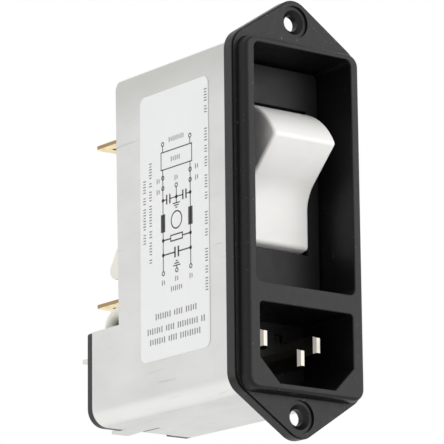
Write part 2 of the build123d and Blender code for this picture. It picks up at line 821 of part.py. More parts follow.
with BuildPart() as filter_board:
    with BuildSketch(Plane.XY.offset(board_z)):
        with Locations((0, (board_front_y + board_back_y) / 2)):
            Rectangle(board_width, board_back_y - board_front_y)
        with Locations(*[(x, pin_tail_y + pin_tail / 2) for x in (-pin_x, 0, pin_x)]):
            Rectangle(pin_thick + 2 * lead_hole_fit, pin_tail + 2 * lead_hole_fit, mode=Mode.SUBTRACT)
        with Locations((-x_cap_lead_x, x_cap_y), (x_cap_lead_x, x_cap_y)):
            Circle(lead_hole_r, mode=Mode.SUBTRACT)
        for way in (-1, 1):
            for lead in (-y_cap_lead_x, y_cap_lead_x):
                with Locations((way * y_cap_x + lead, y_cap_y)):
                    Circle(lead_hole_r, mode=Mode.SUBTRACT)
            with Locations((way * resistor_lead_x, resistor_y)):
                Circle(lead_hole_r, mode=Mode.SUBTRACT)
            with Locations((way * lead_x, lead_y)):
                Circle(wire_d / 2 + lead_hole_fit, mode=Mode.SUBTRACT)
    extrude(amount=board_thickness)
filter_board.part.label = "filter_board"

# Current-compensated choke: ring core and two opposite windings
core_z = board_top + winding_wall + core_height / 2

with BuildPart() as choke_core:
    with BuildSketch(Plane.XY.offset(core_z - core_height / 2)):
        with Locations((0, choke_y)):
            Circle(core_outer_d / 2)
            Circle(core_inner_d / 2, mode=Mode.SUBTRACT)
    extrude(amount=core_height)
choke_core.part.label = "choke_core"


def choke_winding(name, turn):
    """Wound layer that wraps the core over winding_angle, centred on the direction turn."""
    axis = Axis((0, choke_y, 0), (0, 0, 1))
    out_x = math.cos(math.radians(turn))
    out_y = math.sin(math.radians(turn))
    start = Plane(origin=(0, choke_y, core_z), x_dir=(out_x, out_y, 0), z_dir=(out_y, -out_x, 0))
    middle_r = (core_outer_d + core_inner_d) / 4
    depth = (core_outer_d - core_inner_d) / 2
    with BuildPart() as winding:
        with BuildSketch(start):
            with Locations((middle_r, 0)):
                RectangleRounded(depth + 2 * winding_wall, core_height + 2 * winding_wall, winding_wall * 0.9)
                Rectangle(depth, core_height, mode=Mode.SUBTRACT)
        revolve(axis=axis, revolution_arc=winding_angle)
    winding.part.label = name
    return winding.part


choke_winding_left = choke_winding("choke_winding_left", 180 - winding_angle / 2)
choke_winding_right = choke_winding("choke_winding_right", -winding_angle / 2)

# Capacitors and discharge resistor
with BuildPart() as x_capacitor:
    with BuildSketch(Plane.XY.offset(board_top)):
        with Locations((0, x_cap_y)):
            Rectangle(x_cap_width, x_cap_depth)
    extrude(amount=x_cap_height)
    fillet(x_capacitor.edges().filter_by(Axis.Z), x_cap_edge)
    with BuildSketch(Plane.XY.offset(board_top)):
        with Locations((-x_cap_lead_x, x_cap_y), (x_cap_lead_x, x_cap_y)):
            Circle(component_lead_d / 2)
    extrude(amount=lead_tail_z - board_top)
x_capacitor.part.label = "x_capacitor"


def y_capacitor(name, x):
    """Disc capacitor that stands across the compartment on two leads."""
    disc_z = board_top + y_cap_gap + y_cap_d / 2
    with BuildPart() as disc:
        with BuildSketch(upright(y_cap_y)):
            with Locations((x, disc_z)):
                Circle(y_cap_d / 2)
        extrude(amount=y_cap_thickness / 2, both=True)
        fillet(disc.edges(), y_cap_thickness * 0.3)
        with BuildSketch(Plane.XY.offset(lead_tail_z)):
            with Locations((x - y_cap_lead_x, y_cap_y), (x + y_cap_lead_x, y_cap_y)):
                Circle(component_lead_d / 2)
        extrude(amount=disc_z - lead_tail_z)
    disc.part.label = name
    return disc.part


y_capacitor_left = y_capacitor("y_capacitor_left", -y_cap_x)
y_capacitor_right = y_capacitor("y_capacitor_right", y_cap_x)

with BuildPart() as bleed_resistor:
    resistor_z = board_top + resistor_d / 2
    with BuildSketch(side(0)):
        with Locations((resistor_y, resistor_z)):
            Circle(resistor_d / 2)
    extrude(amount=resistor_length / 2, both=True)
    fillet(bleed_resistor.edges(), resistor_d / 8)
    with BuildLine() as lead_path:
        FilletPolyline(
            (-resistor_lead_x, resistor_y, lead_tail_z),
            (-resistor_lead_x, resistor_y, resistor_z),
            (resistor_lead_x, resistor_y, resistor_z),
            (resistor_lead_x, resistor_y, lead_tail_z),
            radius=component_lead_d * 0.75,
        )
    with BuildSketch(Plane(origin=(-resistor_lead_x, resistor_y, lead_tail_z), z_dir=(0, 0, 1))):
        Circle(component_lead_d / 2)
    sweep(path=lead_path.line)
bleed_resistor.part.label = "bleed_resistor"


def supply_lead(side_name, way):
    """Solid wire from the board to the lower terminal, and the sleeve that slips over it."""
    tab_low = line_tab_z - tab_thickness / 2
    run_z = tab_low - lead_drop
    end_x = way * (lead_x - lead_shift)
    joint_y = body_back_y + wire_d
    sleeve_end_y = joint_y + bare_length
    foot = (way * lead_x, lead_y, board_top)
    knee = (way * lead_x, lead_y, run_z)
    sleeve_end = (end_x, sleeve_end_y, run_z)
    wire_end = (end_x, joint_y, run_z)
    with BuildLine() as sleeve_path:
        FilletPolyline(foot, knee, sleeve_end, radius=lead_bend)
    with BuildPart() as wire:
        with BuildSketch(Plane.XY.offset(board_top)):
            with Locations(foot[:2]):
                Circle(wire_d / 2)
        sweep(path=sleeve_path.line)
        with BuildSketch(Plane.XY.offset(board_top)):
            with Locations(foot[:2]):
                Circle(wire_d / 2)
        extrude(amount=-board_thickness)
        with BuildLine() as tail_path:
            FilletPolyline(sleeve_end, wire_end, (end_x, joint_y, tab_low), radius=wire_d * 0.8)
        with BuildSketch(Plane(origin=sleeve_end, z_dir=Vector(*wire_end) - Vector(*sleeve_end))):
            Circle(wire_d / 2)
        sweep(path=tail_path.line)
    wire.part.label = "lead_wire_" + side_name
    with BuildPart() as sleeve:
        with BuildSketch(Plane.XY.offset(board_top)):
            with Locations(foot[:2]):
                Circle(sleeve_d / 2)
                Circle(wire_d / 2 + sleeve_fit, mode=Mode.SUBTRACT)
        sweep(path=sleeve_path.line)
    sleeve.part.label = "lead_sleeve_" + side_name
    return wire.part, sleeve.part


lead_wire_left, lead_sleeve_left = supply_lead("left", -1)
lead_wire_right, lead_sleeve_right = supply_lead("right", 1)

# Earth blade: through the rear cover, bent down to the board
with BuildPart() as earth_tab:
    leg_y = board_back_y - earth_leg_setback
    with BuildSketch(Plane.XY.offset(earth_tab_z - tab_thickness / 2)) as earth_flat:
        with Locations((earth_tab_x, (leg_y + earth_tab_tip_y) / 2)):
            Rectangle(tab_width, earth_tab_tip_y - leg_y)
        chamfer(earth_flat.vertices().group_by(Axis.Y)[-1], tab_chamfer)
        with Locations((earth_tab_x, earth_tab_tip_y - tab_hole_setback - tab_chamfer)):
            Circle(tab_hole_d / 2, mode=Mode.SUBTRACT)
    extrude(amount=tab_thickness)
    with BuildSketch(upright(leg_y)):
        with Locations((earth_tab_x, (board_top + earth_tab_z) / 2)):
            Rectangle(tab_width / 2, earth_tab_z - board_top)
    extrude(amount=-tab_thickness)
earth_tab.part.label = "earth_tab"

blocks = [front_housing, shield_case, rear_cover, rating_label, breaker_frame, breaker_body, rocker,
          rocker_axle, contact_slider, filter_board, choke_core, x_capacitor, bleed_resistor, earth_tab]
pieces = [block.part for block in blocks] + [
    line_pin, neutral_pin, earth_pin, line_tab_left, line_tab_right, load_tab_left, load_tab_right,
    bimetal_left, bimetal_right, contact_bridge_left, contact_bridge_right, choke_winding_left,
    choke_winding_right, y_capacitor_left, y_capacitor_right, lead_wire_left, lead_wire_right,
    lead_sleeve_left, lead_sleeve_right,
]
for piece in pieces:
    export_step(piece, f"parts/{piece.label}.step")
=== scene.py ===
"""Looks of a panel-mount power entry module: materials, label print, studio and camera."""

import math

import bmesh
import bpy
from mathutils import Matrix, Vector


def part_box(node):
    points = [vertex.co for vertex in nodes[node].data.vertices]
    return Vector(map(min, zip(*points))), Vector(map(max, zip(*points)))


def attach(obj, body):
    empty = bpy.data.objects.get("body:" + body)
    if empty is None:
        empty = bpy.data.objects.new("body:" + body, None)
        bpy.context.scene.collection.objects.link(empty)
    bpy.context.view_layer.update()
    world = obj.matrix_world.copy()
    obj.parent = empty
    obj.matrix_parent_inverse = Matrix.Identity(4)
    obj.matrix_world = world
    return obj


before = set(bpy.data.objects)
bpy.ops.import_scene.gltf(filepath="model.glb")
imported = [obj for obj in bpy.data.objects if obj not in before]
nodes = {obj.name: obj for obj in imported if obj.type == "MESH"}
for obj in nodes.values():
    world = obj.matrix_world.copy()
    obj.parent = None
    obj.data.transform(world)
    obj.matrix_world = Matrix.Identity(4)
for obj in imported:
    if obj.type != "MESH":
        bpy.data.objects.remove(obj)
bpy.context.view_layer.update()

MM = 0.001
MODULE = "module"


# Materials

# Places of the sockets that a Mix node uses for colours
MIX_FACTOR, MIX_FIRST, MIX_SECOND = 0, 6, 7
MIX_RESULT = 2


class NodeTree:
    """Adds nodes to one tree and links them."""

    def __init__(self, tree):
        self.tree = tree

    def add(self, kind, **values):
        node = self.tree.nodes.new(kind)
        for key, value in values.items():
            setattr(node, key, value)
        return node

    def link(self, output, socket):
        self.tree.links.new(output, socket)

    def feed(self, socket, value):
        """Links an output to the socket, or writes a number or a colour to it."""
        if hasattr(value, "is_output"):
            self.link(value, socket)
        elif hasattr(value, "__len__"):
            socket.default_value = (*value, 1)
        else:
            socket.default_value = value

    def math(self, operation, first, second=0.0):
        node = self.add("ShaderNodeMath", operation=operation)
        self.feed(node.inputs[0], first)
        self.feed(node.inputs[1], second)
        return node.outputs[0]

    def between(self, source, low, high, start=0.0, end=1.0):
        """start where source is below low, end where it is above high, smooth in between."""
        node = self.add("ShaderNodeMapRange", interpolation_type="SMOOTHSTEP")
        for name, value in (("From Min", low), ("From Max", high), ("To Min", start), ("To Max", end)):
            node.inputs[name].default_value = value
        self.link(source, node.inputs["Value"])
        return node.outputs["Result"]

    def along(self, vector, axis):
        """The X, Y or Z of a vector."""
        split = self.add("ShaderNodeSeparateXYZ")
        self.link(vector, split.inputs["Vector"])
        return split.outputs[axis]


class Shader(NodeTree):
    """A Principled material, built up node by node in the row frame's own coordinates."""

    def __init__(self, name, colour, roughness, metallic=0.0, specular=0.5):
        self.material = bpy.data.materials.new(name)
        self.material.use_nodes = True
        super().__init__(self.material.node_tree)
        self.bsdf = self.tree.nodes["Principled BSDF"]
        self.colour = colour
        self.bsdf.inputs["Base Color"].default_value = (*colour, 1)
        self.bsdf.inputs["Roughness"].default_value = roughness
        self.bsdf.inputs["Metallic"].default_value = metallic
        self.bsdf.inputs["Specular IOR Level"].default_value = specular
        self.place = self.add("ShaderNodeTexCoord").outputs["Object"]
        self.height = None

    def noise(self, size_mm, detail=3.0, stretch=(1, 1, 1), rough=0.55):
        """Noise whose blotches are about size_mm across, stretched along the axes."""
        mapping = self.add("ShaderNodeMapping")
        scale = 1.0 / (size_mm * MM)
        mapping.inputs["Scale"].default_value = [scale / factor for factor in stretch]
        self.link(self.place, mapping.inputs["Vector"])
        texture = self.add("ShaderNodeTexNoise")
        texture.inputs["Scale"].default_value = 1.0
        texture.inputs["Detail"].default_value = detail
        texture.inputs["Roughness"].default_value = rough
        self.link(mapping.outputs["Vector"], texture.inputs["Vector"])
        return texture.outputs["Fac"]

    def ramp(self, source, start, end):
        """Runs from one (position, value) to the other, value being a grey or a colour."""
        node = self.add("ShaderNodeValToRGB")
        for element, (position, value) in zip(node.color_ramp.elements, (start, end)):
            element.position = position
            element.color = (*value, 1) if hasattr(value, "__len__") else (value, value, value, 1)
        self.link(source, node.inputs["Fac"])
        return node.outputs["Color"]

    def mix(self, factor, first, second):
        """The first colour where factor is 0 and the second where it is 1."""
        node = self.add("ShaderNodeMix", data_type="RGBA")
        for index, value in ((MIX_FACTOR, factor), (MIX_FIRST, first), (MIX_SECOND, second)):
            self.feed(node.inputs[index], value)
        return node.outputs[MIX_RESULT]

    def blend(self, factor, first, second):
        """The first surface where factor is 0 and the second where it is 1."""
        node = self.add("ShaderNodeMixShader")
        for socket, output in zip(node.inputs, (factor, first, second)):
            self.link(output, socket)
        return node.outputs[0]

    def paint(self, colour):
        self.link(colour, self.bsdf.inputs["Base Color"])

    def tint(self, source, low, high):
        """Colour that drifts between low and high times the base colour."""
        dark, light = ([min(1.0, part * share) for part in self.colour] for share in (low, high))
        colour = self.ramp(source, (0.3, dark), (0.7, light))
        self.paint(colour)
        return colour

    def gloss(self, source, low, high):
        """Roughness that drifts from low to high."""
        self.link(self.ramp(source, (0.3, low), (0.7, high)), self.bsdf.inputs["Roughness"])

    def bump(self, source, depth_mm):
        """Relief, laid over what was bumped before."""
        node = self.add("ShaderNodeBump")
        node.inputs["Distance"].default_value = depth_mm * MM
        self.link(source, node.inputs["Height"])
        if self.height is not None:
            self.link(self.height, node.inputs["Normal"])
        self.height = node.outputs["Normal"]
        self.link(self.height, self.bsdf.inputs["Normal"])

    def axis(self, name):
        """One coordinate of the row frame, in metres."""
        return self.along(self.place, name)

    def facing(self, name, normal="True Normal"):
        """How far the surface faces along an axis of the row frame, -1 to 1."""
        return self.along(self.add("ShaderNodeNewGeometry").outputs[normal], name)


def moulded(name, colour, roughness, grain_mm=0.22, depth_mm=0.006, specular=0.5, drift=0.12):
    """Moulded plastic: eroded grain, faint flow marks and uneven gloss."""
    look = Shader(name, colour, roughness, specular=specular)
    look.tint(look.noise(9.0, 2.0), 1 - drift, 1 + drift)
    look.gloss(look.noise(3.0, 4.0), roughness - 0.05, roughness + 0.06)
    look.bump(look.noise(grain_mm, 2.0), depth_mm)
    return look.material


def dusty_moulding():
    """Black bezel moulding: satin, fine grain, a few pale specks of dust, flange sides painted lighter grey
    as a painted sheen.
    """
    painted_sheen_grey, dust = (0.032, 0.031, 0.031), (0.13, 0.13, 0.13)
    sheen_from, sheen_full = 16.4 * MM, 16.75 * MM
    look = Shader("black_moulding", (0.006, 0.006, 0.0065), 0.36, specular=0.26)
    shade = look.tint(look.noise(9.0, 2.0), 0.88, 1.12)
    # Painted sheen: the flange's outer sides are painted a lighter grey
    sheen_mask = look.between(look.math("ABSOLUTE", look.axis("X")), sheen_from, sheen_full)
    shade = look.mix(sheen_mask, shade, painted_sheen_grey)
    speck = look.ramp(look.noise(0.55, 2.0), (0.695, 0.0), (0.72, 1.0))
    where = look.ramp(look.noise(7.0, 3.0), (0.42, 0.0), (0.60, 0.85))
    look.paint(look.mix(look.math("MULTIPLY", speck, where), shade, dust))
    look.gloss(look.noise(1.4, 5.0), 0.29, 0.44)
    look.bump(look.noise(0.34, 3.0), 0.011)
    return look.material


def metal(name, colour, roughness, grain=(1, 14, 1), depth_mm=0.002, drift=0.06):
    """Rolled or plated metal: grain along one axis, patchy shine and slight staining."""
    look = Shader(name, colour, roughness, metallic=1.0)
    look.tint(look.noise(5.0, 4.0), 1 - drift, 1 + drift)
    look.gloss(look.noise(2.0, 4.0, grain), roughness - 0.06, roughness + 0.08)
    look.bump(look.noise(0.12, 2.0, grain), depth_mm)
    return look.material


def case_metal():
    """Plated sheet: rolling grain, smudges and hairline scratches, painted shade high up, a painted highlight
    on its folds.
    """
    sheet, smudge, painted_top_shade = (0.70, 0.70, 0.685), (0.775, 0.775, 0.76), (0.56, 0.56, 0.535)
    painted_fold_highlight, scratch = (0.88, 0.88, 0.855), (0.42, 0.42, 0.40)
    top_shade_from, top_shade_full = 22 * MM, 38 * MM
    look = Shader("case_sheet", sheet, 0.42, metallic=0.85)
    shade = look.ramp(look.noise(14.0, 5.0, (1, 1.6, 1)), (0.30, sheet), (0.72, smudge))
    # Painted shade: the sheet is painted darker towards the top of the case
    top_shade_mask = look.math("MULTIPLY", look.between(look.axis("Z"), top_shade_from, top_shade_full), 0.85)
    shade = look.mix(top_shade_mask, shade, painted_top_shade)
    # Painted highlight: the folds, which slant between X and Z, are painted brighter
    slant = look.math("MULTIPLY", look.facing("X", "Normal"), look.facing("Z", "Normal"))
    fold_highlight_mask = look.between(look.math("ABSOLUTE", slant), 0.08, 0.50)
    shade = look.mix(fold_highlight_mask, shade, painted_fold_highlight)
    lines = look.ramp(look.noise(0.55, 2.0, (1, 34, 2.2), 0.4), (0.63, 0.0), (0.67, 1.0))
    where = look.ramp(look.noise(11.0, 2.0), (0.50, 0.0), (0.60, 1.0))
    marks = look.math("MULTIPLY", lines, where)
    look.paint(look.mix(look.math("MULTIPLY", marks, 0.32), shade, scratch))
    look.gloss(look.noise(4.0, 5.0, (1, 3, 1)), 0.36, 0.50)
    look.bump(look.noise(0.10, 2.0, (1, 9, 1)), 0.0025)
    look.bump(marks, -0.006)
    return look.material


def tab_metal():
    """Brass blade: bright faces, brown tarnish in patches, and the same brown as painted shade on the stamped
    edges.
    """
    bright, tarnish_and_edge_shade = (0.93, 0.80, 0.48), (0.30, 0.17, 0.07)
    look = Shader("tab_brass", (0.83, 0.68, 0.36), 0.30, metallic=1.0)
    stain = look.noise(1.6, 5.0)
    flat = look.between(look.math("ABSOLUTE", look.facing("Z")), 0.55, 0.95)
    # Painted shade: the edges, which face away from Z, are painted the tarnish brown
    edge_shade_mask = look.math("MULTIPLY", look.math("SUBTRACT", 1.0, flat), 0.85)
    patch = look.math("MULTIPLY", look.ramp(stain, (0.50, 0.0), (0.80, 1.0)), 0.35)
    look.paint(look.mix(look.math("MAXIMUM", edge_shade_mask, patch), bright, tarnish_and_edge_shade))
    look.gloss(stain, 0.24, 0.40)
    look.bump(look.noise(0.15, 2.0, (1, 8, 1)), 0.003)
    return look.material


def rocker_plastic():
    """White thermoplastic: satin gloss, a trace of moulding texture, a little light let through."""
    look = Shader("rocker_white", (0.90, 0.89, 0.865), 0.34)
    look.bsdf.inputs["Subsurface Weight"].default_value = 0.12
    look.bsdf.inputs["Subsurface Radius"].default_value = (0.0022, 0.0013, 0.0007)
    look.tint(look.noise(8.0, 2.0), 0.975, 1.02)
    look.gloss(look.noise(2.5, 4.0), 0.30, 0.40)
    look.bump(look.noise(0.30, 2.0), 0.003)
    return look.material


def label_film():
    """Printed white film: even, satin, with the slightest orange peel."""
    look = Shader("label_film", (0.93, 0.935, 0.935), 0.38)
    look.tint(look.noise(10.0, 3.0), 0.985, 1.01)
    look.gloss(look.noise(1.2, 3.0), 0.34, 0.44)
    look.bump(look.noise(0.5, 2.0), 0.0015)
    return look.material


def ink(name, colour):
    """Printed ink: patchy cover, slightly shinier than the film."""
    look = Shader(name, colour, 0.34)
    look.tint(look.noise(0.35, 3.0), 0.85, 1.35)
    look.gloss(look.noise(0.8, 2.0), 0.28, 0.42)
    return look.material


def winding_copper():
    """Enamelled wire: ribs at the pitch of the turns that run round the core."""
    ribs_per_radian = 44.0
    look = Shader("enamelled_copper", (0.60, 0.27, 0.12), 0.28, metallic=0.8)
    low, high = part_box("choke_core")
    from_centre = look.add("ShaderNodeVectorMath", operation="SUBTRACT")
    from_centre.inputs[1].default_value = (low + high) / 2
    look.link(look.place, from_centre.inputs[0])
    spot = from_centre.outputs[0]
    angle = look.math("ARCTAN2", look.along(spot, "Y"), look.along(spot, "X"))
    look.tint(look.noise(1.5, 2.0), 0.85, 1.15)
    look.gloss(look.noise(1.0, 2.0), 0.22, 0.36)
    look.bump(look.math("SINE", look.math("MULTIPLY", angle, ribs_per_radian)), 0.12)
    return look.material


def woven(name, colour):
    """Braided sleeve: a fine crossed weave."""
    lean, wave_scale = 0.8, 420.0
    look = Shader(name, colour, 0.62)
    look.tint(look.noise(0.5, 2.0), 0.92, 1.04)
    look.gloss(look.noise(1.5, 2.0), 0.56, 0.68)
    waves = []
    for turn in (lean, -lean):
        mapping = look.add("ShaderNodeMapping")
        mapping.inputs["Rotation"].default_value = (turn, turn, 0)
        look.link(look.place, mapping.inputs["Vector"])
        wave = look.add("ShaderNodeTexWave")
        wave.inputs["Scale"].default_value = wave_scale
        look.link(mapping.outputs["Vector"], wave.inputs["Vector"])
        waves.append(wave.outputs["Fac"])
    look.bump(look.math("MAXIMUM", *waves), 0.03)
    return look.material


def laminate():
    """Circuit board: paper laminate, darker specks of fibre."""
    look = Shader("board_laminate", (0.40, 0.29, 0.12), 0.46)
    look.tint(look.noise(0.6, 4.0, (1, 5, 1)), 0.85, 1.12)
    look.gloss(look.noise(2.0, 3.0), 0.40, 0.55)
    look.bump(look.noise(0.25, 2.0, (1, 4, 1)), 0.004)
    return look.material


def dress(material, *names):
    """Gives the material to the named pieces."""
    for name in names:
        data = nodes[name].data
        data.materials.clear()
        data.materials.append(material)


dress(dusty_moulding(), "front_housing")
dress(case_metal(), "shield_case")
dress(moulded("cover_plastic", (0.018, 0.018, 0.0185), 0.44, grain_mm=0.25), "rear_cover")
dress(moulded("frame_plastic", (0.007, 0.007, 0.0075), 0.40, grain_mm=0.16, depth_mm=0.003, specular=0.22),
      "breaker_frame")
dress(label_film(), "rating_label")
dress(moulded("body_plastic", (0.90, 0.88, 0.79), 0.46, drift=0.03), "breaker_body")
dress(rocker_plastic(), "rocker")
dress(metal("axle_steel", (0.62, 0.62, 0.62), 0.30, grain=(8, 1, 1)), "rocker_axle")
dress(moulded("slider_plastic", (0.22, 0.10, 0.05), 0.45), "contact_slider")
dress(metal("contact_copper", (0.80, 0.48, 0.32), 0.32), "contact_bridge_left", "contact_bridge_right")
dress(metal("bimetal_strip", (0.62, 0.56, 0.50), 0.34, grain=(1, 1, 12)), "bimetal_left", "bimetal_right")
dress(tab_metal(), "load_tab_left", "load_tab_right", "line_tab_left", "line_tab_right")
# The pin metal is darker than bare nickel: painted shade for the dark inlet walls it reflects
dress(metal("pin_nickel", (0.38, 0.36, 0.32), 0.16, grain=(1, 18, 1), depth_mm=0.001, drift=0.10),
      "line_pin", "neutral_pin", "earth_pin")
dress(metal("tinned_brass", (0.72, 0.71, 0.68), 0.32), "earth_tab")
dress(laminate(), "filter_board")
dress(moulded("ferrite", (0.06, 0.06, 0.065), 0.45, grain_mm=0.15, depth_mm=0.01), "choke_core")
dress(winding_copper(), "choke_winding_left", "choke_winding_right")
dress(moulded("capacitor_case", (0.74, 0.56, 0.08), 0.30, depth_mm=0.003, drift=0.05), "x_capacitor")
dress(moulded("disc_coat", (0.04, 0.16, 0.42), 0.32, depth_mm=0.004), "y_capacitor_left", "y_capacitor_right")
dress(moulded("resistor_coat", (0.60, 0.45, 0.28), 0.40, depth_mm=0.004), "bleed_resistor")
dress(metal("tinned_wire", (0.72, 0.71, 0.70), 0.30, grain=(1, 1, 6)), "lead_wire_left", "lead_wire_right")
dress(woven("sleeve_white", (0.93, 0.91, 0.81)), "lead_sleeve_left", "lead_sleeve_right")


# Label print, with places in millimetres of the row frame's y and z

LABEL_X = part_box("rating_label")[0].x
INK_SUNK = 0.01 * MM
INK_PROUD = 0.02 * MM
# Heights of the strokes of a row in turn, as shares of the row's height
STROKE_HEIGHTS = (1.0, 0.8, 1.0, 0.9)


class Print:
    """Flat ink shapes on the label, raised a hair."""

    def __init__(self):
        self.mesh = bmesh.new()

    def patch(self, outline):
        """One closed outline as a thin solid."""
        faces = []
        for x in (LABEL_X + INK_SUNK, LABEL_X - INK_PROUD):
            faces.append([self.mesh.verts.new((x, y * MM, z * MM)) for y, z in outline])
        back, front = faces
        self.mesh.faces.new(back)
        self.mesh.faces.new(front[::-1])
        for i in range(len(outline)):
            j = (i + 1) % len(outline)
            self.mesh.faces.new((back[i], front[i], front[j], back[j]))

    def line(self, start, end, width):
        """Straight stroke with square ends."""
        (y0, z0), (y1, z1) = start, end
        length = math.hypot(y1 - y0, z1 - z0)
        side_y, side_z = -(z1 - z0) / length * width / 2, (y1 - y0) / length * width / 2
        self.patch([(y0 + side_y, z0 + side_z), (y1 + side_y, z1 + side_z),
                    (y1 - side_y, z1 - side_z), (y0 - side_y, z0 - side_z)])

    def dot(self, centre, radius, sides=20):
        """Filled circle."""
        angles = [2 * math.pi * i / sides for i in range(sides)]
        self.patch([(centre[0] + radius * math.cos(angle), centre[1] + radius * math.sin(angle))
                    for angle in angles])

    def ring(self, centre, radius, width, sides=36):
        """Round stroke."""
        inner, outer = radius - width / 2, radius + width / 2
        for i in range(sides):
            turn, next_turn = 2 * math.pi * i / sides, 2 * math.pi * (i + 1) / sides
            self.patch([(centre[0] + reach * math.cos(angle), centre[1] + reach * math.sin(angle))
                        for reach, angle in ((inner, turn), (inner, next_turn),
                                             (outer, next_turn), (outer, turn))])

    def frame(self, low, high, width):
        """Rectangular stroke."""
        (y0, z0), (y1, z1) = low, high
        half = width / 2
        for start, end in (((y0 - half, z0), (y1 + half, z0)), ((y0 - half, z1), (y1 + half, z1)),
                           ((y0, z0), (y0, z1)), ((y1, z0), (y1, z1))):
            self.line(start, end, width)

    def strokes(self, start, end, groups, pitch, height, width):
        """Row of strokes across a line, in groups of so many, repeated until it is full."""
        (y0, z0), (y1, z1) = start, end
        total = math.hypot(y1 - y0, z1 - z0)
        step_y, step_z = (y1 - y0) / total, (z1 - z0) / total
        at, group = 0.0, 0
        while at <= total:
            for i in range(groups[group % len(groups)]):
                if at > total:
                    break
                half = height / 2 * STROKE_HEIGHTS[(i + group) % len(STROKE_HEIGHTS)]
                y, z = y0 + step_y * at, z0 + step_z * at
                self.line((y - step_z * half, z + step_y * half), (y + step_z * half, z - step_y * half),
                          width)
                at += pitch
            at += pitch
            group += 1

    def finish(self, name, material):
        bmesh.ops.recalc_face_normals(self.mesh, faces=self.mesh.faces[:])
        data = bpy.data.meshes.new(name)
        self.mesh.to_mesh(data)
        self.mesh.free()
        data.materials.append(material)
        piece = bpy.data.objects.new(name, data)
        bpy.context.collection.objects.link(piece)
        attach(piece, MODULE)


# Circuit diagram: breaker box, two supply wires, choke, resistor, capacitors and earth signs
FINE, FIRM, BOLD = 0.24, 0.288, 0.46
LEFT, MIDDLE, RIGHT = 25.25, 20.5, 15.6
DOT_R = 0.42
TERMINAL_R = 0.42
TOP_TERMINAL_Z, TOP_WIRE_END = 19.4, 18.95
BOX_TOP, BOX_BOTTOM, BOX_MARGIN = 17.6, 13.75, 0.6
TAP_ZS = (12.0, 9.75)
EARTH_TERMINAL_Z, EARTH_WIRE_END = 9.6, 9.2
Y_CAP_Z, Y_CAP_PLATES, Y_CAP_HALF_HEIGHT, Y_CAP_WIRE_END = 7.05, (2.3, 3.4), 1.05, 4.8
CHOKE_TOP, CHOKE_BOTTOM, CHOKE_WIDTH = 4.0, 0.1, 1.5
CORE_Z, CORE_R, CORE_WIDTH = 2.08, 1.85, 0.312
RESISTOR_Z, RESISTOR_HALF_LENGTH, RESISTOR_HALF_HEIGHT = -1.68, 2.05, 0.62
X_CAP_Z, X_CAP_PLATE, X_CAP_HALF_HEIGHT, X_CAP_WIDTH = -4.88, 0.6, 1.15, 0.506
UPPER_EARTH_Z, LOWER_EARTH_Z = 5.7, -7.8
EARTH_HALF_LENGTHS, EARTH_PITCH = (1.25, 0.8, 0.35), 0.48
BOTTOM_WIRE_END = -8.4
BOTTOM_TERMINAL_Z = BOTTOM_WIRE_END - TERMINAL_R

diagram = Print()


def terminal(y, z):
    """Open circle."""
    diagram.ring((y, z), TERMINAL_R, FINE)


def earth(wire_end, z, way):
    """Earth sign at z: a wire that ends there, and strokes that get shorter upwards (1) or downwards (-1)."""
    diagram.line((MIDDLE, wire_end), (MIDDLE, z), FINE)
    for step, half in enumerate(EARTH_HALF_LENGTHS):
        stroke_z = z + way * EARTH_PITCH * step
        diagram.line((MIDDLE - half, stroke_z), (MIDDLE + half, stroke_z), FINE)


def plate(y, z, half_height, width):
    """One plate of a capacitor."""
    diagram.line((y, z - half_height), (y, z + half_height), width)


diagram.frame((RIGHT - BOX_MARGIN, BOX_BOTTOM), (LEFT + BOX_MARGIN, BOX_TOP), FINE)
for y in (LEFT, RIGHT):
    diagram.line((y, BOX_BOTTOM), (y, BOTTOM_WIRE_END), FINE)
    diagram.line((y, BOX_TOP), (y, TOP_WIRE_END), FINE)
    diagram.line((y, CHOKE_TOP), (y, CHOKE_BOTTOM), CHOKE_WIDTH)
    for z in (TOP_TERMINAL_Z, *TAP_ZS, BOTTOM_TERMINAL_Z):
        terminal(y, z)
    for z in (Y_CAP_Z, RESISTOR_Z, X_CAP_Z):
        diagram.dot((y, z), DOT_R)
diagram.ring((MIDDLE, CORE_Z), CORE_R, CORE_WIDTH)
terminal(MIDDLE, EARTH_TERMINAL_Z)
diagram.line((MIDDLE, EARTH_WIRE_END), (MIDDLE, Y_CAP_Z), FINE)
diagram.dot((MIDDLE, Y_CAP_Z), DOT_R)
earth(Y_CAP_Z, UPPER_EARTH_Z, -1)
earth(BOTTOM_WIRE_END, LOWER_EARTH_Z, 1)
terminal(MIDDLE, BOTTOM_TERMINAL_Z)
diagram.frame((MIDDLE - RESISTOR_HALF_LENGTH, RESISTOR_Z - RESISTOR_HALF_HEIGHT),
              (MIDDLE + RESISTOR_HALF_LENGTH, RESISTOR_Z + RESISTOR_HALF_HEIGHT), FIRM)
for way, side in ((-1, RIGHT), (1, LEFT)):
    inner, outer = (MIDDLE + way * reach for reach in Y_CAP_PLATES)
    diagram.line((MIDDLE, Y_CAP_Z), (inner, Y_CAP_Z), FINE)
    plate(inner, Y_CAP_Z, Y_CAP_HALF_HEIGHT, BOLD)
    plate(outer, Y_CAP_Z, Y_CAP_HALF_HEIGHT, BOLD)
    diagram.line((outer, Y_CAP_Z), (MIDDLE + way * Y_CAP_WIRE_END, Y_CAP_Z), FINE)
    diagram.line((MIDDLE + way * RESISTOR_HALF_LENGTH, RESISTOR_Z), (side, RESISTOR_Z), FIRM)
    plate(MIDDLE + way * X_CAP_PLATE, X_CAP_Z, X_CAP_HALF_HEIGHT, X_CAP_WIDTH)
    diagram.line((MIDDLE + way * X_CAP_PLATE, X_CAP_Z), (side, X_CAP_Z), FIRM)
diagram.finish("label_diagram", ink("ink_dark", (0.035, 0.035, 0.035)))

